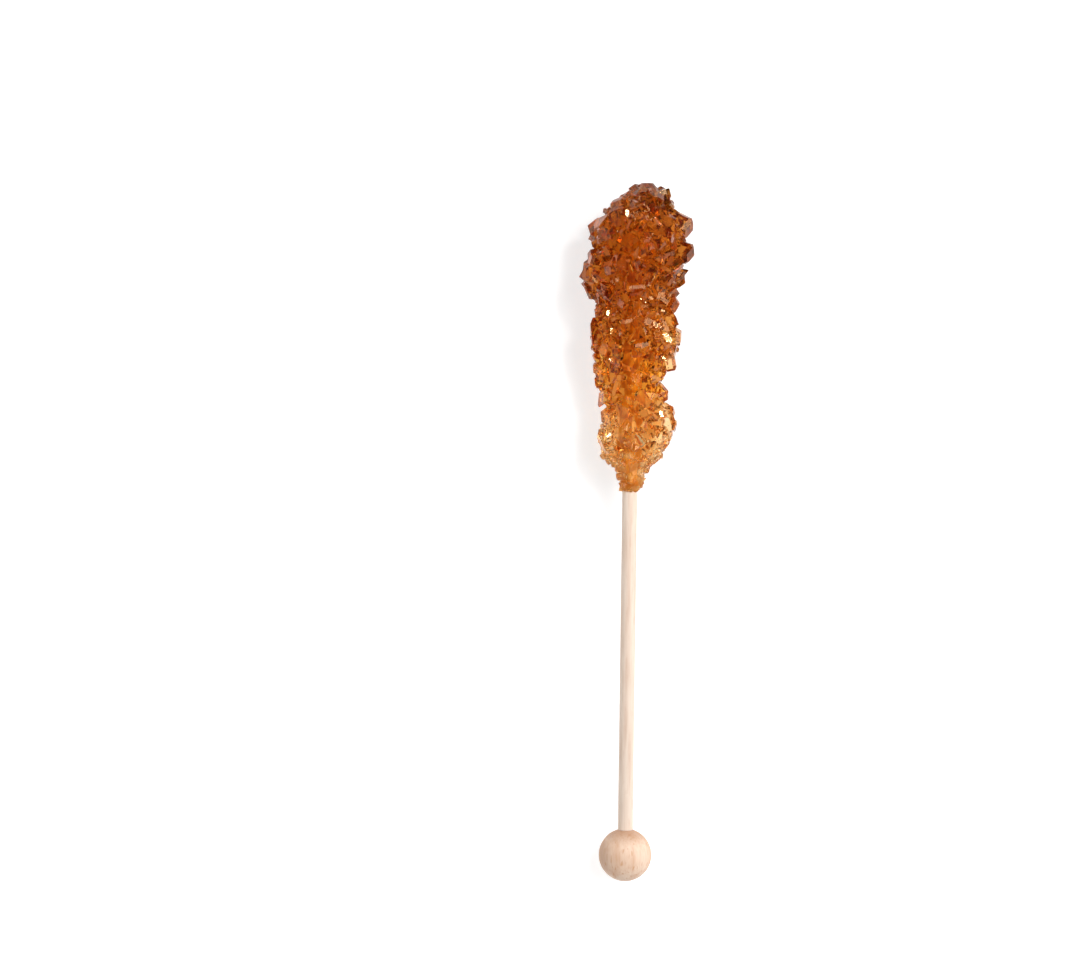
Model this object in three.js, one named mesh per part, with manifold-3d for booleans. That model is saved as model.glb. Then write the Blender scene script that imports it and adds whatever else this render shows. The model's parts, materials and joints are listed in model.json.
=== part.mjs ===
// A stick of amber rock candy, lying the way it rests on a table: a dowel with a wooden ball on one
// end and a club of intergrown sugar crystals on the other.
//
// Sizes are in millimetres and angles in radians. +Z is up, +Y runs along the dowel from the ball to
// the candy, and the origin is at the middle of the footprint, on the table. The pieces are first
// made along their own axis, with the ball's centre at y = 0, and then laid down together.
import * as THREE from "three";
import { mergeVertices } from "three/addons/utils/BufferGeometryUtils.js";
import Module from "manifold-3d";

const wasm = await Module();
wasm.setup();

// The wooden parts. The ball is a stock half-inch one, and the scale of all the rest follows from it.
const BALL_DIAMETER = 12.7;
const DOWEL_DIAMETER = 3.6;
const DOWEL_CHAMFER = 0.25;
const BARE_DOWEL = 82.5; // from the ball to the lowest crystals
const BALL_HOLE_DEPTH = 8.5;
const GLUE_GAP = 0.3; // round the dowel, in the ball and in the candy
const DOWEL_SIDES = 24;
const BALL_SIDES = 36;
const BALL_RINGS = 22;

// The club of crystals, from its neck at the dowel to its rounded top: how far up, how far out the
// crystals' corners reach, how far the club has grown to +X of the dowel, and how big crystals get
// there, as a share of the biggest.
const OUTLINE = [
  [0, 2.9, 0.2, 0.26],
  [4, 4.6, 0.5, 0.38],
  [7, 7.0, 0.3, 0.48],
  [10, 8.6, 0.6, 0.58],
  [16, 9.2, 1.8, 0.64],
  [24.5, 7.9, 0, 0.62],
  [34, 10.7, 0.8, 0.7],
  [43, 9.7, 0.8, 0.78],
  [50.5, 12.4, 0.2, 0.86],
  [56, 11.8, 1, 0.96],
  [62, 12.1, 1.8, 1],
  [66.5, 9.2, 1.8, 0.96],
  [70, 6.2, 2.6, 0.9],
  [73, 1.8, 3.2, 0.84],
];
const CANDY_OVER_DOWEL_END = 9; // crystals that cover the dowel's hidden end
const CORE_SIDES = 10;
const CORE_RINGS = 15;
const CORE_SHARES = [0.67, 0.81]; // of the way out to the crystals' corners
const CORE_SEED = 5;
const THINNEST_WALL = 0.7; // of sugar round the dowel

// A sugar crystal is a block whose section leans by 13 degrees, with two of its edges cut off and
// its ends tapered.
const SECTION_LEAN = THREE.MathUtils.degToRad(13);
const EDGE_CUT = 0.27; // of the section's side
const END_TAPER = 0.17; // of the crystal's size

// How crystals of one kind differ: in size, as a share of the biggest that grows there, in thickness
// and length, both as a share of their width, and in how far round the dowel they miss their place.
const SIZES = [0.72, 1.12];
const THICKNESSES = [0.7, 1];
const STRETCHES = [1, 1.6];
const MISSED_BY = [-0.35, 0.35];
const FULL_TURN = [0, 2 * Math.PI];
const SHOWPIECE_THICKNESS = 0.85;

// The crystals in order of size, each kind spread evenly over the club. Size is across the biggest
// of the kind, and spare is how far short of the outline its outermost corner may stay.
const KINDS = [
  { count: 58, size: 8.6, spare: 0.7, tapered: true, seed: 11 },
  { count: 66, size: 6.4, spare: 1.1, tapered: false, seed: 23 },
  { count: 44, size: 4.0, spare: 1.3, tapered: false, seed: 37 },
];

// The crystals that give this stick its own outline: how far up the club the centre is, how far to
// +X of the dowel, how high over its axis, the size, how much longer than wide, and its turn.
const SHOWPIECES = [
  { up: 62.8, side: 11.9, high: 2.5, size: 4.9, stretch: 1.3, turn: [1.45, 0.3, 0.1] },
  { up: 57.8, side: 11.2, high: 3.5, size: 4.4, stretch: 1.0, turn: [0.5, 0.9, 0.4] },
  { up: 60.5, side: -3.0, high: 5.6, size: 9.4, stretch: 1.25, turn: [1.35, 0.2, 0.7] },
  { up: 67.4, side: 0.8, high: 4.4, size: 4.4, stretch: 1.6, turn: [0.3, 1.2, 0.8] },
  { up: 61.6, side: -8.2, high: 1.5, size: 4.4, stretch: 1.2, turn: [0.7, 0.2, 0.7] },
  { up: 70.4, side: 0.9, high: 1.4, size: 4.2, stretch: 1.1, turn: [0.6, 0.4, 0.5] },
  { up: 69.2, side: 6.4, high: 1.8, size: 4.2, stretch: 1.1, turn: [0.9, 0.3, 0.2] },
  { up: 50.7, side: -9.4, high: 2.4, size: 5.2, stretch: 1.1, turn: [0.4, 0.5, 1.0] },
  { up: 51.4, side: 10.0, high: 1.2, size: 4.4, stretch: 1.1, turn: [0.8, 0.1, 0.6] },
  { up: 44.2, side: 8.6, high: 1.8, size: 4.0, stretch: 1.2, turn: [0.4, 0.7, 0.9] },
  { up: 36.3, side: -7.8, high: 2.6, size: 4.2, stretch: 2.1, turn: [1.5, 0.1, 0.2] },
  { up: 36.4, side: 8.4, high: 3.6, size: 4.2, stretch: 1.6, turn: [0.15, 1.45, 0.1] },
  { up: 30.8, side: 9.0, high: 2.4, size: 3.4, stretch: 1.8, turn: [1.5, 0.2, 0.4] },
  { up: 28.4, side: -7.1, high: 1.4, size: 3.2, stretch: 1.3, turn: [0.6, 0.8, 0.3] },
  { up: 22.6, side: 6.6, high: 1.6, size: 3.8, stretch: 1.2, turn: [0.7, 0.5, 0.3] },
  { up: 16.6, side: 7.7, high: 2.4, size: 5.4, stretch: 1.5, turn: [1.4, 0.3, 0.3] },
  { up: 11.2, side: -5.4, high: 1.8, size: 4.0, stretch: 1.5, turn: [1.2, 0.4, 0.2] },
  { up: 7.6, side: -5.4, high: 1.2, size: 3.2, stretch: 1.2, turn: [0.3, 0.9, 0.6] },
];

// How it lies. The table touches the ball and the wide end of the club, and takes a little off
// both, so that each has a small flat to rest on.
const BALL_FLAT = 0.1;
const CLUB_FLAT = 0.7;
const REST_AT = 54; // how far up the club touches the table
const TABLE = { width: 100, length: 400, thickness: 20 };

const ballRadius = BALL_DIAMETER / 2;
const dowelRadius = DOWEL_DIAMETER / 2;
const coreRadius = dowelRadius + GLUE_GAP + THINNEST_WALL;
const candyBase = ballRadius + BARE_DOWEL;
const candyLength = OUTLINE[OUTLINE.length - 1][0];
const dowelTop = candyBase + candyLength - CANDY_OVER_DOWEL_END;
const holeFloor = ballRadius - BALL_HOLE_DEPTH;
const goldenAngle = Math.PI * (3 - Math.sqrt(5));

const ballHeight = ballRadius - BALL_FLAT;
const clubHeight = Math.max(...OUTLINE.map(([, out]) => out)) - CLUB_FLAT;
const restDistance = candyBase + REST_AT;
const tilt = Math.asin((clubHeight - ballHeight) / restDistance);

// Random numbers in a range that come in the same order each time for the same seed.
function draws(seed) {
  let state = seed;
  return ([least, most]) => {
    state = (state + 0x6d2b79f5) | 0;
    let t = Math.imul(state ^ (state >>> 15), 1 | state);
    t = (t + Math.imul(t ^ (t >>> 7), 61 | t)) ^ t;
    return least + ((most - least) * ((t ^ (t >>> 14)) >>> 0)) / 2 ** 32;
  };
}

function toSolid(geometry) {
  const bare = geometry.clone();
  bare.deleteAttribute("normal");
  bare.deleteAttribute("uv");
  const merged = mergeVertices(bare, 1e-4);
  return new wasm.Manifold(
    new wasm.Mesh({
      numProp: 3,
      vertProperties: merged.attributes.position.array,
      triVerts: new Uint32Array(merged.index.array),
    }),
  );
}

function toGeometry(solid) {
  const mesh = solid.getMesh();
  const geometry = new THREE.BufferGeometry();
  geometry.setAttribute("position", new THREE.BufferAttribute(mesh.vertProperties, 3));
  geometry.setIndex(new THREE.BufferAttribute(mesh.triVerts, 1));
  geometry.computeVertexNormals();
  return geometry;
}

// Joins in pairs, and then the pairs in pairs, which is quicker than one after another.
function joinAll(solids) {
  let left = solids;
  while (left.length > 1) {
    const joined = [];
    for (let i = 0; i < left.length; i += 2) {
      joined.push(i + 1 < left.length ? left[i].add(left[i + 1]) : left[i]);
    }
    left = joined;
  }
  return left[0];
}

// The outer body alone, so that a gap sealed in between crystals is filled.
function withoutCavities(solid) {
  return solid.decompose().reduce((best, body) => (body.volume() > best.volume() ? body : best));
}

// A round bar along +Y.
function bar(radius, from, to, chamfer = 0) {
  const profile = [
    [0, from],
    [radius - chamfer, from],
    [radius, from + chamfer],
    [radius, to - chamfer],
    [radius - chamfer, to],
    [0, to],
  ];
  const points = profile.map(([x, y]) => new THREE.Vector2(x, y));
  const outline = points.filter((p, i) => i === 0 || p.distanceTo(points[i - 1]) > 0);
  return new THREE.LatheGeometry(outline, DOWEL_SIDES);
}

// The table as a slab under the object, seen from the object's own axis.
function tableSlab() {
  const slab = new THREE.BoxGeometry(TABLE.width, TABLE.length, TABLE.thickness);
  slab.translate(0, 0, -TABLE.thickness / 2 - ballHeight);
  slab.rotateX(-tilt);
  return toSolid(slab);
}

const outlineCurve = new THREE.CatmullRomCurve3(
  OUTLINE.map(([up, out, middle]) => new THREE.Vector3(up, out, middle)),
  false,
  "centripetal",
);

// Where the crystals' corners reach, at t along the outline and at an angle round the dowel, or a
// point that share of the way out to there.
function clubPoint(t, angle, share = 1) {
  const { x: up, y: out, z: middle } = outlineCurve.getPoint(t);
  const x = middle + share * out * Math.cos(angle);
  return new THREE.Vector3(x, candyBase + up, share * out * Math.sin(angle));
}

function clubNormal(t, angle) {
  const along = outlineCurve.getTangent(t);
  return new THREE.Vector3(along.x * Math.cos(angle), -along.y, along.x * Math.sin(angle)).normalize();
}

// The mass of grown-together sugar that the crystals stand on, rough where it shows between them.
function core() {
  const draw = draws(CORE_SEED);
  const points = [clubPoint(0, 0, 0)];
  for (let i = 0; i <= CORE_RINGS; i++) {
    for (let j = 0; j < CORE_SIDES; j++) {
      const share = draw(CORE_SHARES);
      const { x: up, y: out } = outlineCurve.getPoint(i / CORE_RINGS);
      const least = candyBase + up < dowelTop ? coreRadius / out : 0;
      const angle = (2 * Math.PI * (j + (i % 2) / 2)) / CORE_SIDES;
      points.push(clubPoint(i / CORE_RINGS, angle, Math.max(share, least)));
    }
  }
  points.push(clubPoint(1, 0, 0));

  const at = (i, j) => 1 + i * CORE_SIDES + (j % CORE_SIDES);
  const index = [];
  for (let j = 0; j < CORE_SIDES; j++) {
    index.push(0, at(0, j), at(0, j + 1));
    for (let i = 0; i < CORE_RINGS; i++) {
      index.push(at(i, j), at(i + 1, j), at(i + 1, j + 1));
      index.push(at(i, j), at(i + 1, j + 1), at(i, j + 1));
    }
    index.push(points.length - 1, at(CORE_RINGS, j + 1), at(CORE_RINGS, j));
  }
  return new THREE.BufferGeometry().setFromPoints(points).setIndex(index);
}

// One crystal round the origin, its long side along z.
function crystal(size, thickness, stretch, tapered) {
  const wide = size / 2;
  const high = (size * thickness) / 2;
  const shift = high * Math.tan(SECTION_LEAN);
  const cut = EDGE_CUT * size;
  const section = new THREE.Shape([
    new THREE.Vector2(-wide - shift + cut, -high),
    new THREE.Vector2(wide - shift, -high),
    new THREE.Vector2(wide + shift, high - cut),
    new THREE.Vector2(wide + shift - cut, high),
    new THREE.Vector2(-wide + shift, high),
    new THREE.Vector2(-wide - shift, -high + cut),
  ]);
  const taper = tapered ? END_TAPER * size : 0;
  const block = new THREE.ExtrudeGeometry(section, {
    depth: size * stretch - 2 * taper,
    bevelEnabled: tapered,
    bevelThickness: taper,
    bevelSize: taper,
    bevelOffset: -taper,
    bevelSegments: 1,
    steps: 1,
  });
  return block.center();
}

// How big crystals get at a height up the club, as a share of the biggest.
function growthAt(up) {
  const next = OUTLINE.findIndex(([height]) => height > up);
  if (next < 0) return OUTLINE[OUTLINE.length - 1][3];
  const [lower, upper] = [OUTLINE[Math.max(next - 1, 0)], OUTLINE[next]];
  return THREE.MathUtils.mapLinear(up, lower[0], upper[0], lower[3], upper[3]);
}

// The crystals of one kind. They lie closer together where they are small, at the neck, and each is
// a golden angle further round than the last.
function crystalsOfKind({ count, size, spare, tapered, seed }) {
  const draw = draws(seed);
  const steps = 400;
  const growth = [];
  const room = [0];
  for (let i = 0; i <= steps; i++) {
    const to = outlineCurve.getPoint(i / steps);
    growth.push(growthAt(to.x));
    if (i === 0) continue;
    const from = outlineCurve.getPoint((i - 1) / steps);
    const area = Math.hypot(to.x - from.x, to.y - from.y) * (from.y + to.y);
    room.push(room[i - 1] + area / growth[i]);
  }
  const made = [];
  for (let n = 0; n < count; n++) {
    const wanted = ((n + 0.5) / count) * room[steps];
    const step = room.findIndex((r) => r >= wanted);
    const across = size * growth[step] * draw(SIZES);
    const block = crystal(across, draw(THICKNESSES), draw(STRETCHES), tapered);
    const turn = new THREE.Euler(draw(FULL_TURN), draw(FULL_TURN), draw(FULL_TURN));
    block.applyMatrix4(new THREE.Matrix4().makeRotationFromEuler(turn));
    const angle = seed + n * goldenAngle + draw(MISSED_BY);
    const outward = clubNormal(step / steps, angle);
    const depth = reach(block, outward) + draw([0, spare * growth[step]]);
    const centre = clubPoint(step / steps, angle).addScaledVector(outward, -depth);
    made.push(block.translate(centre.x, centre.y, centre.z));
  }
  return made;
}

// How far a crystal's outermost corner lies from the origin in a direction.
function reach(block, direction) {
  const corner = new THREE.Vector3();
  let most = 0;
  for (let i = 0; i < block.attributes.position.count; i++) {
    most = Math.max(most, corner.fromBufferAttribute(block.attributes.position, i).dot(direction));
  }
  return most;
}

function showpieces() {
  return SHOWPIECES.map(({ up, side, high, size, stretch, turn }) => {
    const block = crystal(size, SHOWPIECE_THICKNESS, stretch, true);
    block.applyMatrix4(new THREE.Matrix4().makeRotationFromEuler(new THREE.Euler(...turn)));
    return block.translate(side, candyBase + up, high);
  });
}

function candySolid(table) {
  const crystals = [...showpieces(), ...KINDS.flatMap(crystalsOfKind)];
  const fused = withoutCavities(joinAll([core(), ...crystals].map(toSolid)));
  const bore = toSolid(bar(dowelRadius + GLUE_GAP, ballRadius, dowelTop + GLUE_GAP));
  return withoutCavities(fused.subtract(table).subtract(bore));
}

function ballSolid(table) {
  const ball = toSolid(new THREE.SphereGeometry(ballRadius, BALL_SIDES, BALL_RINGS));
  const hole = toSolid(bar(dowelRadius + GLUE_GAP, holeFloor, BALL_DIAMETER));
  return ball.subtract(table).subtract(hole);
}

function piece(name, geometry, material) {
  const mesh = new THREE.Mesh(geometry, material);
  mesh.name = name;
  return mesh;
}

const birch = new THREE.MeshStandardMaterial({ color: 0xeccfae, roughness: 0.62, metalness: 0 });
const beech = new THREE.MeshStandardMaterial({ color: 0xe2b993, roughness: 0.55, metalness: 0 });
const amberSugar = new THREE.MeshStandardMaterial({ color: 0xa85a1e, roughness: 0.12, metalness: 0 });

const table = tableSlab();

const stick = new THREE.Group();
stick.add(
  piece("dowel", bar(dowelRadius, holeFloor + GLUE_GAP, dowelTop, DOWEL_CHAMFER), birch),
  piece("ball", toGeometry(ballSolid(table)), beech),
  piece("candy", toGeometry(candySolid(table)), amberSugar),
);

// Laid down: the wide club lifts its end of the dowel, and the footprint is centred.
stick.rotation.x = tilt;
stick.position.z = ballHeight;
const rockCandyStick = new THREE.Group();
rockCandyStick.add(stick);
const footprint = new THREE.Box3().setFromObject(rockCandyStick, true).getCenter(new THREE.Vector3());
stick.position.x = -footprint.x;
stick.position.y = -footprint.y;

export default rockCandyStick;
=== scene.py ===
"""A stick of amber rock candy lying on a white table, seen from straight above.

Sizes are in metres, +Z is up and +Y runs along the stick from the ball to the candy. Each piece is
first shaped along the stick's own axis, with the ball's centre at the origin, and then laid down the
way the stick rests.
"""

import json
import math
import random
from bisect import bisect_left

import bpy
from mathutils import Euler, Matrix, Vector
from mathutils.bvhtree import BVHTree

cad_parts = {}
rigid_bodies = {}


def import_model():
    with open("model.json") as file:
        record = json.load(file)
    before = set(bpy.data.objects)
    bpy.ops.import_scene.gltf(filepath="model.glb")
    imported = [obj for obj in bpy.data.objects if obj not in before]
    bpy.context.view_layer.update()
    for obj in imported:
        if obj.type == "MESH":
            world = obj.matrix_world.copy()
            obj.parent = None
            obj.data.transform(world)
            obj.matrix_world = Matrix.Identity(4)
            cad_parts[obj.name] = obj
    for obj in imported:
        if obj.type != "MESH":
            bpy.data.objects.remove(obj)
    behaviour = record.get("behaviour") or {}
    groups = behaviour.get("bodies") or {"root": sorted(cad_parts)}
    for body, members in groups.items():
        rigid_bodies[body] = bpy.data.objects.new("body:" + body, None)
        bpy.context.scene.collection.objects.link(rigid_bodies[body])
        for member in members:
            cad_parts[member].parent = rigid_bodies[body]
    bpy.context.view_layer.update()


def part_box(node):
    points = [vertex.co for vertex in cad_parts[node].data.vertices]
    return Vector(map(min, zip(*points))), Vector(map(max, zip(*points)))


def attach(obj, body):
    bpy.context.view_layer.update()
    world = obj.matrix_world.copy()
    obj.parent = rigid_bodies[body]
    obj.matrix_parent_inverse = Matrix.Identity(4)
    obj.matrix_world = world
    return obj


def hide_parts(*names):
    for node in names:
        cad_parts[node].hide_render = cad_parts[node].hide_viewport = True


MM = 0.001

# The wooden parts
BALL_DIAMETER = 12.7 * MM
DOWEL_DIAMETER = 3.6 * MM
BARE_DOWEL = 82.5 * MM
BALL_HOLE_DEPTH = 8.5 * MM
HOLE_PLAY = 0.12 * MM
DOWEL_CHAMFER = 0.25 * MM
CANDY_OVER_DOWEL_END = 9 * MM
DOWEL_SIDES = 48
HOLE_SIDES = 96
BALL_SEGMENTS, BALL_RINGS = 96, 64
DOWEL_EDGE_ANGLE = math.radians(40)
BALL_EDGE_ANGLE = math.radians(35)

# How it lies: the ball and the wide end of the club each rest on a small flat, kept just above the
# table so that they don't flicker against it
BALL_FLAT = 0.1 * MM
CLUB_FLAT = 0.7 * MM
REST_AT = 54 * MM
TABLE_GAP = 0.02 * MM

# The club of crystals: how far up, how far out the crystals' corners reach, how far the club has
# grown to +X of the dowel, all in millimetres, how big crystals get there, how thickly small ones
# grow on them, and how much paler the club's two flanks are
OUTLINE = [
    (0, 2.3, 0.3, 0.26, 0.5, 0),
    (4, 4.1, 0.6, 0.38, 0.8, 0.2),
    (7, 6.8, 0.4, 0.52, 0.6, 0.4),
    (10, 8.6, 0.9, 0.66, 0.3, 0.7),
    (16, 9.3, 2, 0.8, 0.15, 0.7),
    (24.5, 8.2, -0.2, 0.8, 0.12, 0.3),
    (34, 11, 0.7, 0.8, 0.3, 0.15),
    (43, 10, 0.6, 0.76, 1, 0.1),
    (50.5, 12.6, 0.2, 0.84, 0.6, 0),
    (56, 11.9, 1, 0.96, 0.3, 0),
    (62, 12.1, 1.8, 1, 0.25, 0),
    (66.5, 9.2, 1.8, 0.9, 0.3, 0),
    (70, 6.2, 2.6, 0.72, 0.5, 0),
    (73, 1.8, 3.2, 0.5, 0.6, 0),
]
GROWTH, THICKLY, PALER = 3, 4, 5
STEPS_UP = 400

# The mass of sugar inside, which reaches this share of the way out to the crystals' corners
CORE_SIDES = 14
CORE_RINGS = 22
CORE_SHARES = (0.7, 0.84)
CORE_LEAST = 2.1 * MM
CORE_TONE = 0.5
CORE_SEED = 5

# A sugar crystal's section leans to one side, two of its edges are cut off, and its ends are tapered
# or cut to a slant
SECTION_LEAN = math.radians(13)
EDGE_CUT = 0.27
END_TAPER = 0.17
END_SLANT = math.radians(28)
SLANT_FROM_MIDDLE = 0.3
THICKNESSES = (0.7, 1)
STRETCHES = (1, 1.6)
FULL_TURN = (0, 2 * math.pi)
GOLDEN_ANGLE = math.pi * (3 - math.sqrt(5))

# The crystals that reach the outline: how many, their sizes and how far short of it they may stay,
# both in millimetres where crystals grow biggest, and the seed of their draws
KINDS = [
    (80, (4.6, 6.6), 0.6, 11),
    (130, (3.4, 4.8), 0.9, 23),
    (170, (2.4, 3.6), 1.1, 37),
]
MISSED_BY = (-0.35, 0.35)

# The crystals that give this stick its own outline: up, side and height over the axis in
# millimetres, size in millimetres, stretch, turn, and tone from 0, deep, over 1, pale, to 2, clear.
# At 3 a crystal is clear and quite smooth as well
SHOWPIECES = [
    (62.9, 11.0, 2.5, 4.9, 1.2, (0.7, 0.9, 0.3), 0.8),
    (56.6, 11.7, 3.2, 4.6, 1.1, (0.5, 0.9, 0.4), 0.4),
    (64.0, -3.4, 6.6, 4.6, 1.3, (1.35, 0.2, 0.7), 0.0),
    (60.4, -5.6, 6.0, 4.8, 1.2, (0.6, 0.9, 0.2), 0.1),
    (59.2, -1.0, 8.2, 4.8, 1.2, (1.2, 0.8, 0.4), 0.1),
    (67.4, 0.8, 4.4, 4.4, 1.6, (0.3, 1.2, 0.8), 0.2),
    (61.6, -8.2, 1.5, 4.4, 1.2, (0.7, 0.2, 0.7), 0.1),
    (71.0, 0.4, 1.0, 2.6, 1.2, (0.6, 0.4, 0.5), 0.0),
    (69.6, 6.8, 1.4, 3.0, 1.2, (0.9, 0.3, 0.2), 0.0),
    (50.7, -9.4, 2.4, 5.2, 1.1, (0.4, 0.5, 1.0), 0.1),
    (51.4, 10.0, 1.2, 4.4, 1.1, (0.8, 0.1, 0.6), 0.3),
    (44.2, 8.6, 1.8, 4.0, 1.2, (0.4, 0.7, 0.9), 0.6),
    (36.3, -7.8, 2.6, 4.2, 2.1, (1.5, 0.1, 0.2), 0.0),
    (36.4, 8.4, 3.6, 4.2, 1.6, (0.15, 1.45, 0.1), 2.0),
    (30.8, 9.0, 2.4, 3.0, 1.9, (1.5, 0.2, 0.4), 1.4),
    (28.4, -7.1, 1.4, 3.2, 1.3, (0.6, 0.8, 0.3), 0.9),
    (22.6, 6.6, 1.6, 3.8, 1.2, (0.7, 0.5, 0.3), 0.4),
    (16.6, 7.9, 2.6, 5.0, 1.4, (1.4, 0.3, 0.3), 1.7),
    (12.2, 6.4, 3.0, 4.4, 1.2, (0.8, 0.5, 0.2), 1.4),
    (11.2, -5.2, 2.4, 4.4, 1.5, (1.2, 0.4, 0.2), 1.8),
    (17.2, -4.6, 3.6, 4.2, 1.2, (0.3, 0.7, 0.4), 1.2),
    (8.2, -4.9, 1.2, 3.2, 1.2, (0.3, 0.9, 0.6), 0.6),
]
SHOWPIECE_THICKNESS = 0.85

# Smaller crystals that grow on the big ones, in layers: how many, their sizes in millimetres where
# crystals grow biggest, how far out they may stand, as a share of the outline, how much of the club
# from its foot up they cover, and the seed
LAYERS = [
    (160, (1.9, 3.2), 0.96, 1, 51),
    (210, (1.2, 2.1), 0.96, 1, 67),
    (110, (0.8, 1.4), 0.92, 1, 83),
    (150, (1.1, 2.1), 0.98, 0.11, 91),
]
SUNK = (0.15, 0.45)
LEAST_GROWTH = 0.55
BELOW_TIP = 2 * MM

# Grains round the dowel where the candy thins out: how many, their sizes and how far up they lie,
# both in millimetres, and the seed
FOOT_GRAINS = (120, (0.5, 1.1), (-0.7, 2.4), 97)
GRAINS_OUT = (-0.2, 0.2)
GRAIN_TONE = 0.3

# Crystals with a smooth end that mirrors the small softbox straight up: up and side over the axis, and
# size, in millimetres
GLINTS = [
    (41.7, -6.0, 1.3),
    (37.4, -4.8, 2.2),
    (45.3, 4.2, 1.4),
    (65.5, -1.8, 1.7),
    (42.4, 7.2, 1.0),
    (35.8, 8.2, 2.8),
    (17.7, 7.0, 1.6),
    (12.4, -5.4, 1.2),
    (30.5, -5.2, 0.9),
]
GLINT_SUNK = 0.12
GLINT_THICKNESS = 0.5
GLINT_TONE = 3
GLINT_OFF = 0.013
GLINT_SEED = 29

# The camera looks straight down. The photograph's frame is 1080 by 969 pixels, and the ball's centre
# lies at BALL_IN_PHOTO in it
PHOTO_SIZE = (1080, 969)
BALL_IN_PHOTO = (625.5, 857.0)
PIXEL = 0.24 * MM
LEAN_IN_PHOTO = math.radians(0.7)
CAMERA_HEIGHT = 0.95
SENSOR = 36.0
CLIP_START = 0.01

# Light: the table's shade and its own glow by the candy and by the ball, the light of the room's walls
# and ceiling and how high the walls' reaches, and the softboxes' place, width and power
TABLE_WIDTH = 6
TABLE_SHADE = (0.5, 0.5, 0.5, 1)
TABLE_ROUGHNESS = 0.8
TABLE_GLOW = 0.67
BALL_END_GLOW = 0.77
WALL_LIGHT = 0.7
CEILING_LIGHT = 0.14
WALL_TOP = 0.5
SOFTBOXES = {
    "key": ((0.38, 0.14, 0.58), 0.5, 4.6),
    "sparkle": ((0.3, 0.34, 0.75), 0.09, 1.7),
    "fill": ((-0.5, -0.15, 0.5), 0.5, 1.1),
}
LIT_SPOT = (0, 0.03, 0)
WHITE = (1, 1, 1, 1)
BLACK = (0, 0, 0, 1)
MOST_BOUNCES = 24

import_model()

ball_low, ball_high = (Vector(corner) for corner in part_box("ball"))
ball_radius = BALL_DIAMETER / 2
dowel_radius = DOWEL_DIAMETER / 2
candy_base = ball_radius + BARE_DOWEL
candy_length = OUTLINE[-1][0] * MM
dowel_top = candy_base + candy_length - CANDY_OVER_DOWEL_END
ball_centre = Vector(((ball_low.x + ball_high.x) / 2, ball_low.y + ball_radius, ball_radius - BALL_FLAT))
club_height = max(row[1] for row in OUTLINE) * MM - CLUB_FLAT
tilt = math.asin((club_height - ball_centre.z) / (candy_base + REST_AT))
LAID_DOWN = Matrix.Translation(ball_centre) @ Matrix.Rotation(tilt, 4, "X")


# Ways of working


def deselect():
    bpy.ops.object.select_all(action="DESELECT")


def activate(obj):
    deselect()
    obj.select_set(True)
    bpy.context.view_layer.objects.active = obj


def apply_modifier(obj, kind, **settings):
    activate(obj)
    modifier = obj.modifiers.new(kind.title(), kind)
    for name, value in settings.items():
        setattr(modifier, name, value)
    bpy.ops.object.modifier_apply(modifier=modifier.name)


def select_edges(obj, wanted):
    """Selects in edit mode the edges of which both ends' places pass a test."""
    bpy.ops.object.mode_set(mode="EDIT")
    bpy.context.tool_settings.mesh_select_mode = (False, True, False)
    bpy.ops.mesh.select_all(action="DESELECT")
    bpy.ops.object.mode_set(mode="OBJECT")
    for edge in obj.data.edges:
        a, b = (obj.data.vertices[v].co for v in edge.vertices)
        edge.select = wanted(a, b)
    bpy.ops.object.mode_set(mode="EDIT")


def recalculate_normals(obj):
    activate(obj)
    bpy.ops.object.mode_set(mode="EDIT")
    bpy.ops.mesh.select_all(action="SELECT")
    bpy.ops.mesh.normals_make_consistent(inside=False)
    bpy.ops.object.mode_set(mode="OBJECT")


def lay_down(obj):
    """Moves a piece from the stick's own axis to the way the stick lies."""
    obj.data.transform(LAID_DOWN)
    obj.data.update()


def cut_flat(obj):
    """Takes off what lies lower than the table, with a slab of which the top is there."""
    deselect()
    bpy.ops.mesh.primitive_cube_add(size=1, location=(0, 0, TABLE_GAP - 1 / 2))
    slab = bpy.context.object
    apply_modifier(obj, "BOOLEAN", operation="DIFFERENCE", object=slab, solver="MANIFOLD")
    bpy.data.objects.remove(slab)


# The club's outline, as a smooth curve through its rows


def outline_at(t):
    """The outline's height up the club, radius and middle, at t from 0 at the foot to 1 at the tip."""
    rows = [Vector(row[:3]) * MM for row in OUTLINE]
    last = len(rows) - 1
    place = min(max(t, 0), 1) * last
    i = min(int(place), last - 1)
    w = place - i
    p1, p2 = rows[i], rows[i + 1]
    p0 = rows[i - 1] if i > 0 else 2 * p1 - p2
    p3 = rows[i + 2] if i + 2 <= last else 2 * p2 - p1
    d0, d1, d2 = (math.sqrt((b - a).length) for a, b in ((p0, p1), (p1, p2), (p2, p3)))
    m1 = ((p1 - p0) / d0 - (p2 - p0) / (d0 + d1) + (p2 - p1) / d1) * d1
    m2 = ((p2 - p1) / d1 - (p3 - p1) / (d1 + d2) + (p3 - p2) / d2) * d1
    return (
        p1
        + m1 * w
        + (3 * (p2 - p1) - 2 * m1 - m2) * w**2
        + (2 * (p1 - p2) + m1 + m2) * w**3
    )


def club_point(t, angle, share=1.0):
    up, out, middle = outline_at(t)
    away = share * out
    return Vector((middle + away * math.cos(angle), candy_base + up, away * math.sin(angle)))


def club_normal(t, angle):
    step = 0.0001
    along = outline_at(t + step) - outline_at(t - step)
    return Vector((along.x * math.cos(angle), -along.y, along.x * math.sin(angle))).normalized()


def share_at(t, column):
    """A column of the outline's table at t, such as how big crystals get there."""
    up = outline_at(t).x / MM
    for lower, upper in zip(OUTLINE, OUTLINE[1:]):
        if up < upper[0]:
            way = (up - lower[0]) / (upper[0] - lower[0])
            return lower[column] + way * (upper[column] - lower[column])
    return OUTLINE[-1][column]


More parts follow.
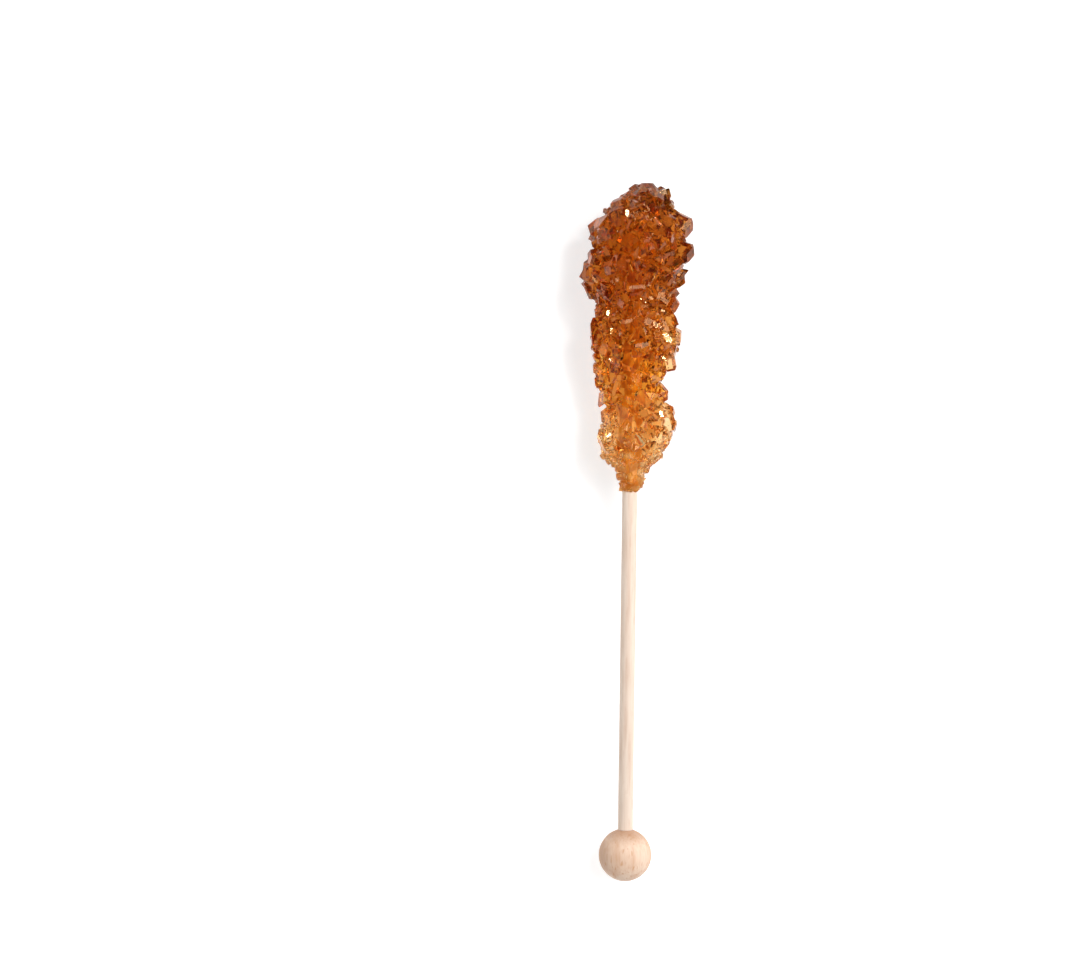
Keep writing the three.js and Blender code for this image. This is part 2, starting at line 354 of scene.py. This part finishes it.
def room_up_the_club():
    """The share of all the room for crystals that lies below each of many steps up the club."""
    room = [0.0]
    for i in range(STEPS_UP):
        lower, upper = outline_at(i / STEPS_UP), outline_at((i + 1) / STEPS_UP)
        area = math.hypot(upper.x - lower.x, upper.y - lower.y) * (lower.y + upper.y)
        room.append(room[-1] + area / share_at((i + 1) / STEPS_UP, GROWTH))
    return [below / room[-1] for below in room]


club_room = room_up_the_club()


def t_below_which(share):
    """The t below which that share of the room for crystals lies."""
    return bisect_left(club_room, share) / STEPS_UP


# The crystals. A few models are made, one unit each way with the long side along z, and each
# crystal of the club is one of them, sized, turned and put in its place


def lean_matrix():
    """Leans a section: x grows with y."""
    matrix = Matrix.Identity(4)
    matrix[0][1] = math.tan(SECTION_LEAN)
    return matrix


def model_block(name):
    """A block whose section leans and has two edges cut off."""
    deselect()
    bpy.ops.mesh.primitive_cube_add(size=1)
    model = bpy.context.object
    model.name = name
    select_edges(model, lambda a, b: abs(a.z - b.z) > 0.5 and a.x * a.y > 0)
    bpy.ops.mesh.bevel(offset=EDGE_CUT, segments=1)
    bpy.ops.object.mode_set(mode="OBJECT")
    model.data.transform(lean_matrix())
    return model


def model_tapered(name):
    """A block with all the edges of its two ends cut off."""
    model = model_block(name)
    select_edges(model, lambda a, b: a.z * b.z > 0 and abs(a.z - b.z) < 0.01)
    bpy.ops.mesh.bevel(offset=END_TAPER, segments=1)
    bpy.ops.object.mode_set(mode="OBJECT")
    return model


def model_slanted(name):
    """A block with each end cut to a slant."""
    model = model_block(name)
    for end in (-1, 1):
        bpy.ops.object.mode_set(mode="EDIT")
        bpy.ops.mesh.select_all(action="SELECT")
        bpy.ops.mesh.bisect(
            plane_co=(0, 0, end * SLANT_FROM_MIDDLE),
            plane_no=(0, math.sin(END_SLANT), end * math.cos(END_SLANT)),
            clear_outer=True,
            use_fill=True,
        )
        bpy.ops.object.mode_set(mode="OBJECT")
    return model


def make_models():
    """The meshes of the model crystals."""
    models = [model_block("block"), model_tapered("tapered"), model_slanted("slanted")]
    meshes = [model.data for model in models]
    for mesh in meshes:
        mesh.attributes.new("tone", "FLOAT", "FACE")
        for layer in list(mesh.uv_layers):
            mesh.uv_layers.remove(layer)
    for model in models:
        bpy.data.objects.remove(model)
    return meshes


BLOCK, TAPERED, SLANTED = 0, 1, 2
crystal_models = make_models()


def give_tone(mesh, tone):
    """Says how pale every face is, which the sugar's material reads."""
    mesh.attributes["tone"].data.foreach_set("value", [tone] * len(mesh.polygons))


class Crystal:
    """One crystal: its model, its size and turn, its place, and how pale it is."""

    def __init__(self, model, size, thickness, stretch, turn, tone):
        self.mesh = crystal_models[model]
        scale = Matrix.Diagonal((size, size * thickness, size * stretch))
        self.shape = turn @ scale
        self.tone = tone
        self.place = Vector()

    def reach(self, direction):
        """How far its farthest corner lies from its middle in a direction."""
        return max((self.shape @ corner.co).dot(direction) for corner in self.mesh.vertices)

    def add(self, name, collection):
        mesh = self.mesh.copy()
        mesh.transform(Matrix.Translation(self.place) @ self.shape.to_4x4())
        give_tone(mesh, self.tone)
        collection.objects.link(bpy.data.objects.new(name, mesh))


def random_crystal(rng, size, models, t=0.0, angle=0.0):
    """A crystal turned any way, paler on the flanks of the club."""
    turn = Euler([rng.uniform(*FULL_TURN) for _ in range(3)]).to_matrix()
    paler = share_at(t, PALER) * math.cos(angle) ** 2
    return Crystal(
        rng.choice(models),
        size,
        rng.uniform(*THICKNESSES),
        rng.uniform(*STRETCHES),
        turn,
        rng.random() + paler,
    )


def crystals_of_kind(count, sizes, spare, seed):
    """Crystals whose corners reach the outline, each a golden angle further round than the last."""
    rng = random.Random(seed)
    made = []
    for n in range(count):
        t = t_below_which((n + 0.5) / count)
        angle = seed + n * GOLDEN_ANGLE + rng.uniform(*MISSED_BY)
        growth = share_at(t, GROWTH)
        size = rng.uniform(*sizes) * growth * MM
        crystal = random_crystal(rng, size, (TAPERED, SLANTED), t, angle)
        outward = club_normal(t, angle)
        depth = crystal.reach(outward) + rng.uniform(0, spare) * growth * MM
        crystal.place = club_point(t, angle) - outward * depth
        made.append(crystal)
    return made


def showpiece_crystals():
    made = []
    for up, side, high, size, stretch, turn, tone in SHOWPIECES:
        turn = Euler(turn, "ZYX").to_matrix()
        crystal = Crystal(TAPERED, size * MM, SHOWPIECE_THICKNESS, stretch, turn, tone)
        crystal.place = Vector((side * MM, candy_base + up * MM, high * MM))
        made.append(crystal)
    return made


def layer_crystals(grown, count, sizes, farthest, covered, seed):
    """Smaller crystals, each standing partly sunk on the surface of the club grown so far."""
    tree = BVHTree.FromObject(grown, bpy.context.evaluated_depsgraph_get())
    rng = random.Random(seed)
    made = []
    while len(made) < count:
        t, angle = t_below_which(covered * rng.random()), rng.uniform(*FULL_TURN)
        if rng.random() > share_at(t, THICKLY):
            continue
        _, out, middle = outline_at(t)
        inward = Vector((-math.cos(angle), 0, -math.sin(angle)))
        spot, normal, _, _ = tree.ray_cast(club_point(t, angle, 1.5), inward)
        if spot is None or math.hypot(spot.x - middle, spot.z) > farthest * out:
            continue
        if spot.y > candy_base + candy_length - BELOW_TIP:
            continue
        growth = LEAST_GROWTH + (1 - LEAST_GROWTH) * share_at(t, GROWTH)
        size = rng.uniform(*sizes) * growth * MM
        crystal = random_crystal(rng, size, (BLOCK, SLANTED), t, angle)
        crystal.place = spot - normal * size * rng.uniform(*SUNK)
        made.append(crystal)
    return made


def foot_grains(count, sizes, ups, seed):
    """Small grains that creep down the dowel below the club."""
    rng = random.Random(seed)
    made = []
    for _ in range(count):
        size = rng.uniform(*sizes) * MM
        angle = rng.uniform(*FULL_TURN)
        away = dowel_radius + size * rng.uniform(*GRAINS_OUT)
        up = candy_base + rng.uniform(*ups) * MM
        crystal = random_crystal(rng, size, (BLOCK,))
        crystal.tone *= GRAIN_TONE
        crystal.place = Vector((away * math.cos(angle), up, away * math.sin(angle)))
        made.append(crystal)
    return made


def glint_crystals(grown):
    """Crystals on top of the club, each with an end turned halfway between the light and straight up."""
    tree = BVHTree.FromObject(grown, bpy.context.evaluated_depsgraph_get())
    to_stick = LAID_DOWN.inverted()
    light = to_stick @ Vector(SOFTBOXES["sparkle"][0])
    upwards = (to_stick.to_3x3() @ Vector((0, 0, 1))).normalized()
    rng = random.Random(GLINT_SEED)
    made = []
    for up, side, size in GLINTS:
        above = Vector((side * MM, candy_base + up * MM, candy_length))
        spot, _, _, _ = tree.ray_cast(above, Vector((0, 0, -1)))
        halfway = ((light - spot).normalized() + upwards).normalized()
        halfway += GLINT_OFF * Vector((rng.uniform(-1, 1), rng.uniform(-1, 1), 0))
        spin = Matrix.Rotation(rng.uniform(*FULL_TURN), 3, "Z")
        turn = halfway.to_track_quat("Z", "Y").to_matrix() @ spin
        crystal = Crystal(BLOCK, size * MM, GLINT_THICKNESS, 1, turn, GLINT_TONE)
        crystal.place = spot - halfway * size * MM * GLINT_SUNK
        made.append(crystal)
    return made


def fuse(body, crystals):
    """Joins crystals to a body in one solid, and drops the separate crystals."""
    pile = bpy.data.collections.new("pile")
    bpy.context.scene.collection.children.link(pile)
    for i, crystal in enumerate(crystals):
        crystal.add(f"crystal_{i}", pile)
    apply_modifier(
        body,
        "BOOLEAN",
        operation="UNION",
        operand_type="COLLECTION",
        collection=pile,
        solver="MANIFOLD",
    )
    for obj in list(pile.objects):
        bpy.data.meshes.remove(obj.data)
    bpy.data.collections.remove(pile)


def core_centre(ring):
    return club_point(ring / CORE_RINGS, 0, 0)


def nearest_centre(place):
    """The middle of the core's ring that a place belongs to."""
    centres = [core_centre(ring) for ring in range(CORE_RINGS + 1)]
    return min(centres, key=lambda centre: abs(centre.y - place.y))


def make_core():
    """The mass of grown-together sugar that the crystals stand on, drawn up the outline in rings."""
    rng = random.Random(CORE_SEED)
    deselect()
    bpy.ops.mesh.primitive_circle_add(
        vertices=CORE_SIDES,
        radius=outline_at(0).y,
        fill_type="NGON",
        location=core_centre(0),
        rotation=(-math.pi / 2, 0, 0),
    )
    core = bpy.context.object
    bpy.ops.object.transform_apply(location=True, rotation=True, scale=True)
    bpy.ops.object.mode_set(mode="EDIT")
    bpy.ops.mesh.select_all(action="SELECT")
    for i in range(CORE_RINGS):
        here, above = outline_at(i / CORE_RINGS), outline_at((i + 1) / CORE_RINGS)
        centre = core_centre(i + 1)
        step = centre - core_centre(i)
        wider = above.y / here.y
        bpy.ops.mesh.extrude_region_move(TRANSFORM_OT_translate={"value": step})
        bpy.ops.transform.resize(value=(wider, 1, wider), center_override=centre)
    bpy.ops.object.mode_set(mode="OBJECT")
    for vertex in core.data.vertices:
        centre = nearest_centre(vertex.co)
        away = vertex.co - centre
        least = CORE_LEAST / away.length if vertex.co.y < dowel_top else 0
        vertex.co = centre + away * max(rng.uniform(*CORE_SHARES), least)
    apply_modifier(core, "TRIANGULATE")
    recalculate_normals(core)
    core.data.attributes.new("tone", "FLOAT", "FACE")
    give_tone(core.data, CORE_TONE)
    return core


def keep_largest_part(obj):
    """Drops loose scraps, and the walls of gaps that are sealed in between crystals."""
    activate(obj)
    bpy.ops.object.mode_set(mode="EDIT")
    bpy.ops.mesh.select_all(action="SELECT")
    bpy.ops.mesh.separate(type="LOOSE")
    bpy.ops.object.mode_set(mode="OBJECT")
    parts = sorted(bpy.context.selected_objects, key=lambda part: len(part.data.vertices))
    for part in parts[:-1]:
        bpy.data.objects.remove(part)
    return parts[-1]


def make_candy():
    candy = make_core()
    big = showpiece_crystals()
    for kind in KINDS:
        big += crystals_of_kind(*kind)
    fuse(candy, big)
    for layer in LAYERS:
        fuse(candy, layer_crystals(candy, *layer))
    fuse(candy, foot_grains(*FOOT_GRAINS))
    fuse(candy, glint_crystals(candy))
    candy = keep_largest_part(candy)
    candy.name = "candy_crystals"
    lay_down(candy)
    cut_flat(candy)
    return candy


# The wood


def make_dowel():
    """A dowel with broken edges, from the bottom of the ball's hole to inside the candy."""
    low = ball_radius - BALL_HOLE_DEPTH
    deselect()
    bpy.ops.mesh.primitive_cylinder_add(
        vertices=DOWEL_SIDES,
        radius=dowel_radius,
        depth=dowel_top - low,
        location=(0, (low + dowel_top) / 2, 0),
        rotation=(math.pi / 2, 0, 0),
    )
    dowel = bpy.context.object
    bpy.ops.object.transform_apply(location=True, rotation=True, scale=True)
    dowel.name = "wood_dowel"
    select_edges(dowel, lambda a, b: abs(a.y - b.y) < DOWEL_CHAMFER)
    bpy.ops.mesh.bevel(offset=DOWEL_CHAMFER, segments=2)
    bpy.ops.object.mode_set(mode="OBJECT")
    bpy.ops.object.shade_smooth_by_angle(angle=DOWEL_EDGE_ANGLE)
    lay_down(dowel)
    return dowel


def make_ball():
    """A turned ball with a drilled hole."""
    deselect()
    bpy.ops.mesh.primitive_uv_sphere_add(
        segments=BALL_SEGMENTS,
        ring_count=BALL_RINGS,
        radius=ball_radius,
        rotation=(math.pi / 2, 0, 0),
    )
    ball = bpy.context.object
    bpy.ops.object.transform_apply(location=True, rotation=True, scale=True)
    ball.name = "wood_ball"
    deselect()
    bpy.ops.mesh.primitive_cylinder_add(
        vertices=HOLE_SIDES,
        radius=dowel_radius + HOLE_PLAY,
        depth=ball_radius * 2,
        location=(0, ball_radius * 2 - BALL_HOLE_DEPTH, 0),
        rotation=(math.pi / 2, 0, 0),
    )
    drill = bpy.context.object
    bpy.ops.object.transform_apply(location=True, rotation=True, scale=True)
    apply_modifier(ball, "BOOLEAN", operation="DIFFERENCE", object=drill, solver="EXACT")
    bpy.data.objects.remove(drill)
    lay_down(ball)
    cut_flat(ball)
    activate(ball)
    bpy.ops.object.shade_smooth_by_angle(angle=BALL_EDGE_ANGLE)
    return ball


# Materials


class Nodes:
    """The nodes of a material or of a node group, added and linked with few words."""

    def __init__(self, tree):
        self.tree = tree

    def add(self, kind, values=None, **settings):
        """Adds a node, sets what it is, and sets or links its inputs by name or number."""
        node = self.tree.nodes.new(kind)
        for name, value in settings.items():
            setattr(node, name, value)
        for name, value in (values or {}).items():
            self.put(node.inputs[name], value)
        return node

    def put(self, socket, value):
        if isinstance(value, bpy.types.NodeSocket):
            self.tree.links.new(value, socket)
        else:
            socket.default_value = value

    def math(self, operation, first, second=0.0):
        node = self.add("ShaderNodeMath", {0: first, 1: second}, operation=operation)
        return node.outputs[0]

    def spread(self, value, low, high, to_low=0.0, to_high=1.0):
        """A value from low to high made one from to_low to to_high, smoothly and no further."""
        values = {"Value": value, "From Min": low, "From Max": high, "To Min": to_low, "To Max": to_high}
        node = self.add("ShaderNodeMapRange", values, interpolation_type="SMOOTHSTEP")
        return node.outputs["Result"]

    def mix(self, factor, first, second, blend="MIX"):
        """Two colours mixed."""
        values = {"Factor": factor, 6: first, 7: second}
        node = self.add("ShaderNodeMix", values, data_type="RGBA", blend_type=blend)
        return node.outputs[2]

    def noise(self, vector, scale, detail=2.0, roughness=0.5):
        values = {"Vector": vector, "Scale": scale, "Detail": detail, "Roughness": roughness}
        return self.add("ShaderNodeTexNoise", values).outputs["Fac"]

    def stick_coordinates(self, stretch=(1, 1, 1)):
        """Object coordinates turned to run along the stick, from the ball's centre."""
        coordinates = self.add("ShaderNodeTexCoord").outputs["Object"]
        values = {"Vector": coordinates, "Location": ball_centre, "Rotation": (tilt, 0, 0)}
        mapped = self.add("ShaderNodeMapping", values, vector_type="TEXTURE").outputs["Vector"]
        values = {0: mapped, 1: stretch}
        return self.add("ShaderNodeVectorMath", values, operation="MULTIPLY").outputs["Vector"]

    def parts(self, vector):
        return self.add("ShaderNodeSeparateXYZ", {"Vector": vector}).outputs

    def up_the_stick(self):
        return self.parts(self.stick_coordinates())["Y"]

    def bump(self, height, distance, strength):
        values = {"Height": height, "Distance": distance, "Strength": strength}
        return self.add("ShaderNodeBump", values).outputs["Normal"]


def new_material(name):
    material = bpy.data.materials.new(name)
    material.use_nodes = True
    tree = material.node_tree
    return material, Nodes(tree), tree.nodes["Principled BSDF"], tree.nodes["Material Output"]


def new_group(name, inputs, outputs):
    """A shader node group's nodes, and its input and output sockets by name."""
    group = bpy.data.node_groups.new(name, "ShaderNodeTree")
    for socket_name, kind, value in inputs:
        socket = group.interface.new_socket(name=socket_name, in_out="INPUT", socket_type=kind)
        socket.default_value = value
    for socket_name, kind in outputs:
        group.interface.new_socket(name=socket_name, in_out="OUTPUT", socket_type=kind)
    n = Nodes(group)
    return n, n.add("NodeGroupInput").outputs, n.add("NodeGroupOutput").inputs


COLOUR = "NodeSocketColor"
NUMBER = "NodeSocketFloat"

# The sugar: its colours at the foot, in the middle and at the top, for the deepest crystals and the
# pale ones, that of clear crystals, that of a painted glow of light in the middle, and how much darker
# the tip is
DEEP_SUGAR = ((0.90, 0.43, 0.07, 1), (0.56, 0.195, 0.015, 1), (0.40, 0.115, 0.010, 1))
PALE_SUGAR = ((1.0, 0.88, 0.59, 1), (0.87, 0.46, 0.10, 1), (0.62, 0.255, 0.05, 1))
CLEAR_SUGAR = (1.0, 0.91, 0.73, 1)
PAINTED_GLOW_SUGAR = (1.0, 0.52, 0.05, 1)
TIP_SHADE = (0.42, 0.35, 0.33, 1)
TONE_CURVE = 1.2
PALE_TONE, CLEAR_TONE, SMOOTH_TONE = 1, 2, 3

# How the colours wander up and down, and where along the candy they change
CLOUD_SCALE = 90
CLOUD_REACH = 18 * MM
FOOT_ENDS = 0.38
TOP_STARTS = 0.62
TIP_STARTS = 0.84

# A painted glow, a brighter orange that stands in for light shining through the middle of the candy:
# its place over the axis in millimetres, the distances between which it fades, and how strong it is
PAINTED_GLOW_SPOT = (4.2, 26, 6)
PAINTED_GLOW_REACH = (3 * MM, 8 * MM)
PAINTED_GLOW_STRENGTH = 0.9

# The sugar's finish: frosted patches, the frosted neck, the fine steps on the faces, and what the
# volume lets through
FROST_SCALE = 420
FROST_PATCHES = (0.48, 0.7)
FROST = 0.6
NECK_FROST = (10 * MM, 4 * MM)
SUGAR_ROUGHNESS = (0.05, 0.4)
STEP_SCALE = 1100
STEP_DEPTH = 0.12 * MM
STEP_STRENGTH = 0.14
SUGAR_GLASS = {"IOR": 1.54, "Transmission Weight": 1.0, "Specular Tint": (1.0, 0.66, 0.37, 1)}
SUGAR_INSIDE = {"Color": (0.97, 0.60, 0.05, 1), "Density": 64.0}


def amber_sugar():
    """Clear amber crystals, darker towards the top, some paler and some frosted, with a painted glow in
    the middle.
    """
    material, n, shader, output = new_material("amber_sugar")
    along = n.stick_coordinates()
    wander = n.math("SUBTRACT", n.noise(along, CLOUD_SCALE), 0.5)
    height = n.math("ADD", n.up_the_stick(), n.math("MULTIPLY", wander, CLOUD_REACH))
    foot_ends = candy_base + FOOT_ENDS * candy_length
    lower = n.spread(height, candy_base, foot_ends)
    upper = n.spread(height, foot_ends, candy_base + TOP_STARTS * candy_length)
    tip = n.spread(height, candy_base + TIP_STARTS * candy_length, candy_base + candy_length)
    deep, pale = (
        n.mix(upper, n.mix(lower, foot, middle), top) for foot, middle, top in (DEEP_SUGAR, PALE_SUGAR)
    )
    tone = n.add("ShaderNodeAttribute", attribute_name="tone", attribute_type="GEOMETRY").outputs["Fac"]
    colour = n.mix(n.math("POWER", tone, TONE_CURVE), deep, pale)
    colour = n.mix(tip, colour, n.mix(1.0, colour, TIP_SHADE, "MULTIPLY"))
    colour = n.mix(n.spread(tone, PALE_TONE, CLEAR_TONE), colour, CLEAR_SUGAR)

    # Painted glow: round one spot in the middle the colour turns a brighter orange, which stands in for
    # light shining through the candy there.
    side, up, high = PAINTED_GLOW_SPOT
    spot = Vector((side * MM, candy_base + up * MM, high * MM))
    away = n.add("ShaderNodeVectorMath", {0: along, 1: spot}, operation="DISTANCE").outputs["Value"]
    painted_glow = n.spread(away, *PAINTED_GLOW_REACH, PAINTED_GLOW_STRENGTH, 0.0)
    n.put(shader.inputs["Base Color"], n.mix(painted_glow, colour, PAINTED_GLOW_SUGAR))

    patches = n.spread(n.noise(along, FROST_SCALE, 3.0), *FROST_PATCHES, 0.0, FROST)
    frosted_to, frosted_from = (candy_base + up for up in NECK_FROST)
    neck = n.spread(height, frosted_from, frosted_to, FROST, 0.0)
    n.put(shader.inputs["Roughness"], n.spread(n.math("ADD", patches, neck), 0, 1, *SUGAR_ROUGHNESS))
    stepped = n.spread(tone, CLEAR_TONE, SMOOTH_TONE, 1.0, 0.0)
    steps = n.math("MULTIPLY", n.noise(along, STEP_SCALE, 3.0, 0.6), stepped)
    n.put(shader.inputs["Normal"], n.bump(steps, STEP_DEPTH, STEP_STRENGTH))
    for name, value in SUGAR_GLASS.items():
        shader.inputs[name].default_value = value
    absorb = n.add("ShaderNodeVolumeAbsorption", SUGAR_INSIDE)
    n.put(output.inputs["Volume"], absorb.outputs["Volume"])
    return material


# The wood's pattern: how far fibres and pores are drawn out along the stick, how fine they are, the
# noise values between which bands, streaks and pores grow dark, and how dark bands and streaks get
FIBRE_STRETCH = (1, 0.06, 1)
PORE_STRETCH = (1, 0.16, 1)
STREAK_SCALE = 2400
PORE_SCALE = 1900
BANDS = (0.38, 0.72)
STREAKS = (0.35, 0.75)
PORES = (0.66, 0.76)
BAND_DARKNESS = 0.5
STREAK_DARKNESS = 0.3
WOOD_ROUGHNESS = (0.5, 0.66)
WOOD_RELIEF = 0.05 * MM
WOOD_RELIEF_STRENGTH = 0.4


def wood_grain_group():
    """Wood whose fibres run along the stick: soft bands, fine streaks and short dark pores."""
    inputs = [
        ("Pale", COLOUR, (0.85, 0.70, 0.56, 1)),
        ("Dark", COLOUR, (0.62, 0.42, 0.28, 1)),
        ("Band Width", NUMBER, 0.002),
        ("Pores", NUMBER, 0.5),
    ]
    outputs = [("Color", COLOUR), ("Roughness", NUMBER), ("Height", NUMBER)]
    n, given, out = new_group("wood_grain", inputs, outputs)
    fibres = n.stick_coordinates(FIBRE_STRETCH)
    bands = n.noise(fibres, n.math("DIVIDE", 1.0, given["Band Width"]), 1.0)
    streaks = n.noise(fibres, STREAK_SCALE, 2.0)
    pores = n.spread(n.noise(n.stick_coordinates(PORE_STRETCH), PORE_SCALE, 0.0), *PORES)
    pores = n.math("MULTIPLY", pores, given["Pores"])
    banded = n.spread(bands, *BANDS, 0.0, BAND_DARKNESS)
    streaked = n.spread(streaks, *STREAKS, 0.0, STREAK_DARKNESS)
    darkness = n.math("ADD", n.math("ADD", banded, streaked), pores)
    n.put(out["Color"], n.mix(darkness, given["Pale"], given["Dark"]))
    n.put(out["Roughness"], n.spread(streaks, 0.3, 0.7, *WOOD_ROUGHNESS))
    n.put(out["Height"], n.math("SUBTRACT", streaks, pores))
    return n.tree


def add_wood(n, shader, wood_grain, values):
    """Gives a shader the wood's relief and roughness, and returns its colour."""
    grain = n.add("ShaderNodeGroup", node_tree=wood_grain)
    for name, value in values.items():
        n.put(grain.inputs[name], value)
    n.put(shader.inputs["Roughness"], grain.outputs["Roughness"])
    relief = n.bump(grain.outputs["Height"], WOOD_RELIEF, WOOD_RELIEF_STRENGTH)
    n.put(shader.inputs["Normal"], relief)
    return grain.outputs["Color"]


DOWEL_WOOD = {
    "Pale": (0.85, 0.70, 0.58, 1),
    "Dark": (0.70, 0.50, 0.38, 1),
    "Band Width": 1.2 * MM,
    "Pores": 0.2,
}
BALL_WOOD = {
    "Pale": (0.84, 0.63, 0.485, 1),
    "Dark": (0.66, 0.36, 0.20, 1),
    "Band Width": 3.0 * MM,
    "Pores": 0.5,
}

# The crust of seed grains: how ragged its edge is and where it has closed, its grains and patches and
# their colours, and how much of the colour glows
RAGGED_STRETCH = (1, 0.2, 1)
RAGGED_SCALE = 900
RAGGED_BY = 3 * MM
CRUST_CLOSES = 2.5 * MM
SEED_SCALE = 1300
PATCH_SCALE = 230
PATCHES = (0.4, 0.62)
SEED_GRAINS = ((1.0, 0.74, 0.30, 1), (1.0, 0.50, 0.10, 1))
SEED_PATCH = (0.62, 0.24, 0.04, 1)
CRUST_GLOW = (0.2, 0.15, 0.09, 1)


def dowel_wood(wood_grain):
    """Pale wood, which inside the candy is crusted with the grains that its crystals grew from.

    The crust glows a little, for the light that scatters between the grains.
    """
    material, n, shader, _ = new_material("dowel_wood")
    wood = add_wood(n, shader, wood_grain, DOWEL_WOOD)
    ragged = n.math("MULTIPLY", n.noise(n.stick_coordinates(RAGGED_STRETCH), RAGGED_SCALE), RAGGED_BY)
    up = n.math("ADD", n.up_the_stick(), ragged)
    crusted = n.spread(up, candy_base, candy_base + CRUST_CLOSES)
    along = n.stick_coordinates()
    cells = n.add("ShaderNodeTexVoronoi", {"Vector": along, "Scale": SEED_SCALE})
    grain = n.add("ShaderNodeSeparateColor", {"Color": cells.outputs["Color"]}).outputs["Red"]
    patch = n.spread(n.noise(along, PATCH_SCALE), *PATCHES)
    sugar = n.mix(patch, n.mix(grain, *SEED_GRAINS), SEED_PATCH)
    n.put(shader.inputs["Base Color"], n.mix(crusted, wood, sugar))
    glow = n.mix(crusted, BLACK, n.mix(1.0, sugar, CRUST_GLOW, "MULTIPLY"))
    n.put(shader.inputs["Emission Color"], glow)
    shader.inputs["Emission Strength"].default_value = 1.0
    return material


# The ball's darker wood and painted shade: their colour, between which shares of its radius each starts
# and is there in full, and how strong it is: the darker end grain towards the hole, and painted shade
# towards the left side, away from the key light
DARKER_WOOD_AND_SHADE = (0.44, 0.225, 0.12, 1)
END_GRAIN = (0.35, 0.95, 0.75)
PAINTED_SHADE_SIDE = (-0.4, -0.97, 0.55)


def ball_wood(wood_grain):
    """Turned wood, darker round the hole where the end grain was cut, with painted shade down its left
    side.
    """
    material, n, shader, _ = new_material("ball_wood")
    wood = add_wood(n, shader, wood_grain, BALL_WOOD)
    place = n.parts(n.stick_coordinates())
    starts, full, strength = END_GRAIN
    end_grain = n.spread(place["Y"], starts * ball_radius, full * ball_radius, 0.0, strength)
    # Painted shade: the wood darkens down the ball's left side, the side away from the key light.
    starts, full, strength = PAINTED_SHADE_SIDE
    painted_shade = n.spread(place["X"], full * ball_radius, starts * ball_radius, strength, 0.0)
    darker = n.math("MAXIMUM", end_grain, painted_shade)
    n.put(shader.inputs["Base Color"], n.mix(darker, wood, DARKER_WOOD_AND_SHADE))
    return material


# The studio


def add_softbox(name, place, width, power):
    data = bpy.data.lights.new(name, "AREA")
    data.size = width
    data.energy = power
    light = bpy.data.objects.new(name, data)
    light.location = place
    light.rotation_euler = (Vector(LIT_SPOT) - Vector(place)).to_track_quat("-Z", "Y").to_euler()
    bpy.context.scene.collection.objects.link(light)


def make_table():
    """A white table that glows a little, more so by the ball."""
    deselect()
    bpy.ops.mesh.primitive_plane_add(size=TABLE_WIDTH)
    table = bpy.context.object
    table.name = "white_table"
    material, n, shader, _ = new_material("white_table")
    shader.inputs["Base Color"].default_value = TABLE_SHADE
    shader.inputs["Roughness"].default_value = TABLE_ROUGHNESS
    shader.inputs["Emission Color"].default_value = WHITE
    along = n.parts(n.add("ShaderNodeTexCoord").outputs["Object"])["Y"]
    dowel_middle = ball_centre.y + BARE_DOWEL / 2
    candy_starts = ball_centre.y + candy_base
    glow = n.spread(along, dowel_middle, candy_starts, BALL_END_GLOW, TABLE_GLOW)
    n.put(shader.inputs["Emission Strength"], glow)
    table.data.materials.append(material)


def make_studio():
    """A white table in a room with bright walls and a dim ceiling, under softboxes."""
    make_table()
    world = bpy.data.worlds.new("studio")
    world.use_nodes = True
    n = Nodes(world.node_tree)
    height = n.parts(n.add("ShaderNodeTexCoord").outputs["Generated"])["Z"]
    background = world.node_tree.nodes["Background"]
    n.put(background.inputs["Strength"], n.spread(height, 0, WALL_TOP, WALL_LIGHT, CEILING_LIGHT))
    background.inputs["Color"].default_value = WHITE
    for name, softbox in SOFTBOXES.items():
        add_softbox(name, *softbox)

    scene = bpy.context.scene
    scene.world = world
    scene.view_settings.view_transform = "Standard"
    scene.view_settings.look = "None"
    scene.cycles.max_bounces = MOST_BOUNCES
    scene.cycles.transmission_bounces = MOST_BOUNCES


def make_camera():
    """A camera straight above, placed so that the ball lies where it does in the photograph."""
    turn = Matrix.Rotation(LEAN_IN_PHOTO, 4, "Z")
    across = (PHOTO_SIZE[0] / 2 - BALL_IN_PHOTO[0]) * PIXEL
    along = (BALL_IN_PHOTO[1] - PHOTO_SIZE[1] / 2) * PIXEL
    place = ball_centre + turn @ Vector((across, along, 0))
    place.z = CAMERA_HEIGHT
    data = bpy.data.cameras.new("camera")
    data.sensor_width = SENSOR
    data.lens = SENSOR * (CAMERA_HEIGHT - club_height) / (PHOTO_SIZE[0] * PIXEL)
    data.clip_start = CLIP_START
    camera = bpy.data.objects.new("camera", data)
    camera.matrix_world = Matrix.Translation(place) @ turn
    bpy.context.scene.collection.objects.link(camera)
    bpy.context.scene.camera = camera


def put_in_place(piece, node, material):
    """Gives a piece its material, hangs it on the root body, and hides the model's part of that node
    name, which it stands in for.
    """
    piece.data.materials.clear()
    piece.data.materials.append(material)
    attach(piece, "root")
    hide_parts(node)


make_camera()
make_studio()
wood_grain = wood_grain_group()
put_in_place(make_dowel(), "dowel", dowel_wood(wood_grain))
put_in_place(make_ball(), "ball", ball_wood(wood_grain))
put_in_place(make_candy(), "candy", amber_sugar())
